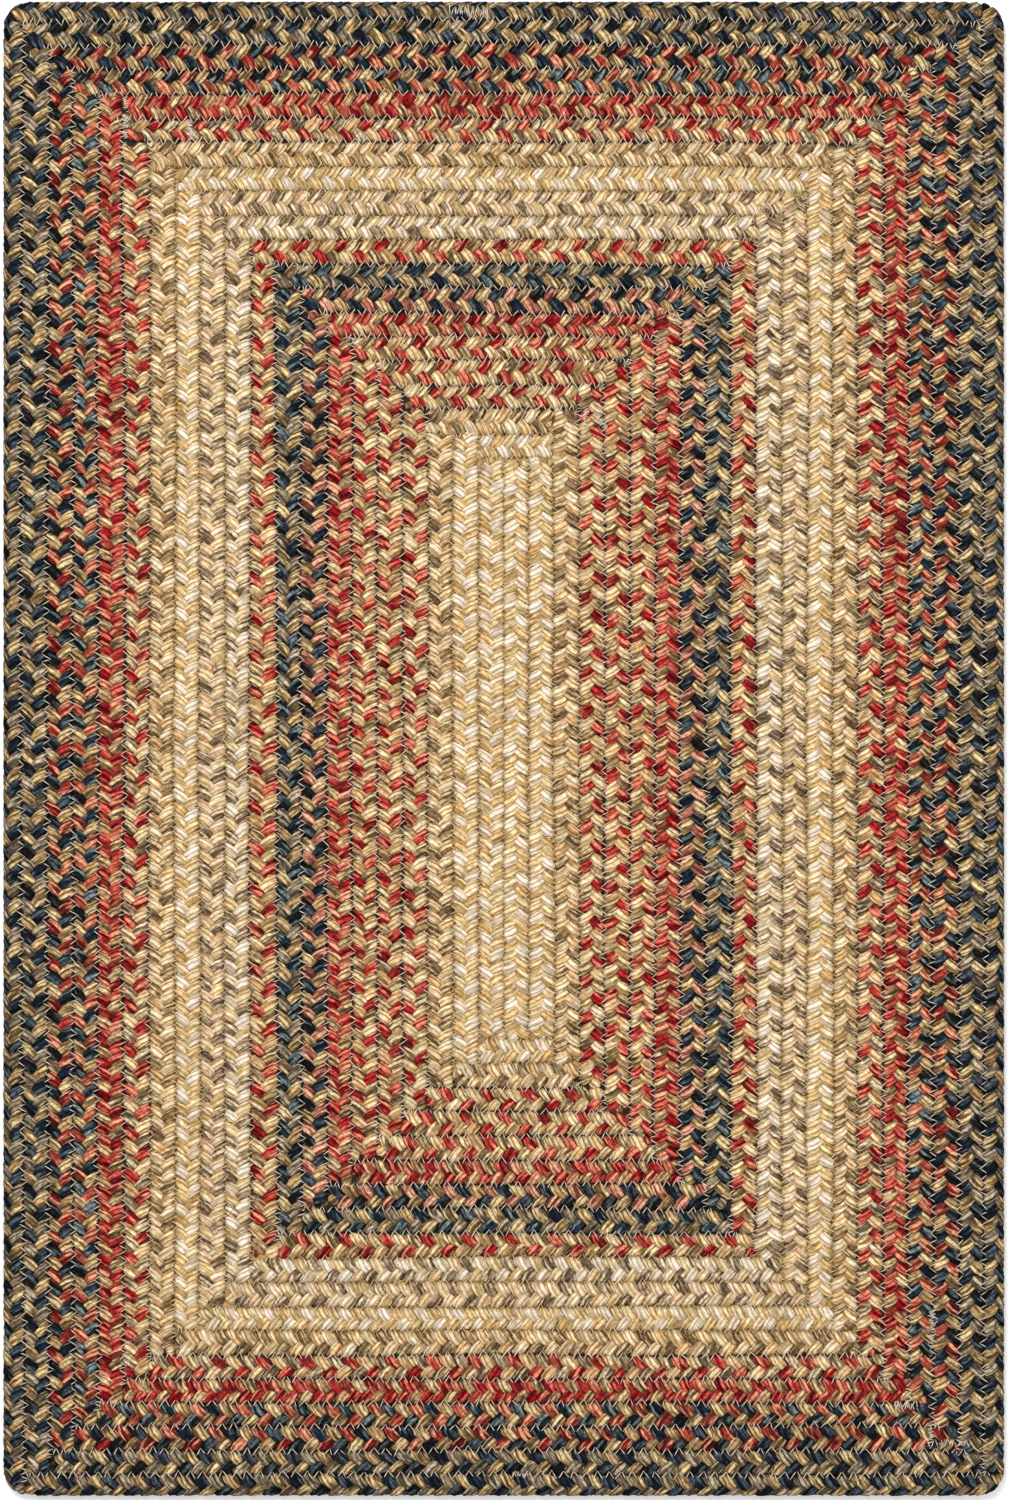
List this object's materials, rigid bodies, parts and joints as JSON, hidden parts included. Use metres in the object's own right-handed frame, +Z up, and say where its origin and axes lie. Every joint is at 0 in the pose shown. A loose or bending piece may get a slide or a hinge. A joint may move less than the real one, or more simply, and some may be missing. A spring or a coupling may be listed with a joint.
{
  "type": "braided rug",
  "caption": "Flat rectangular rug of one long three-strand yarn braid, laid in rows round a middle seam and zigzag sewn row to row, with rounded corners.",
  "frame": {"origin": "centre of the underside, on the surface that the rug lies on", "axes": "+Z up, through the rug's thickness; +Y along the rug's length; +X along its width"},
  "size_m": [0.508, 0.758, 0.009],
  "materials": {
    "braided_yarn": "rough plied jute yarn, multicoloured rows, matte"
  },
  "bodies": {
    "root": {"braided_rug": "braided_yarn"}
  },
  "joints": []
}
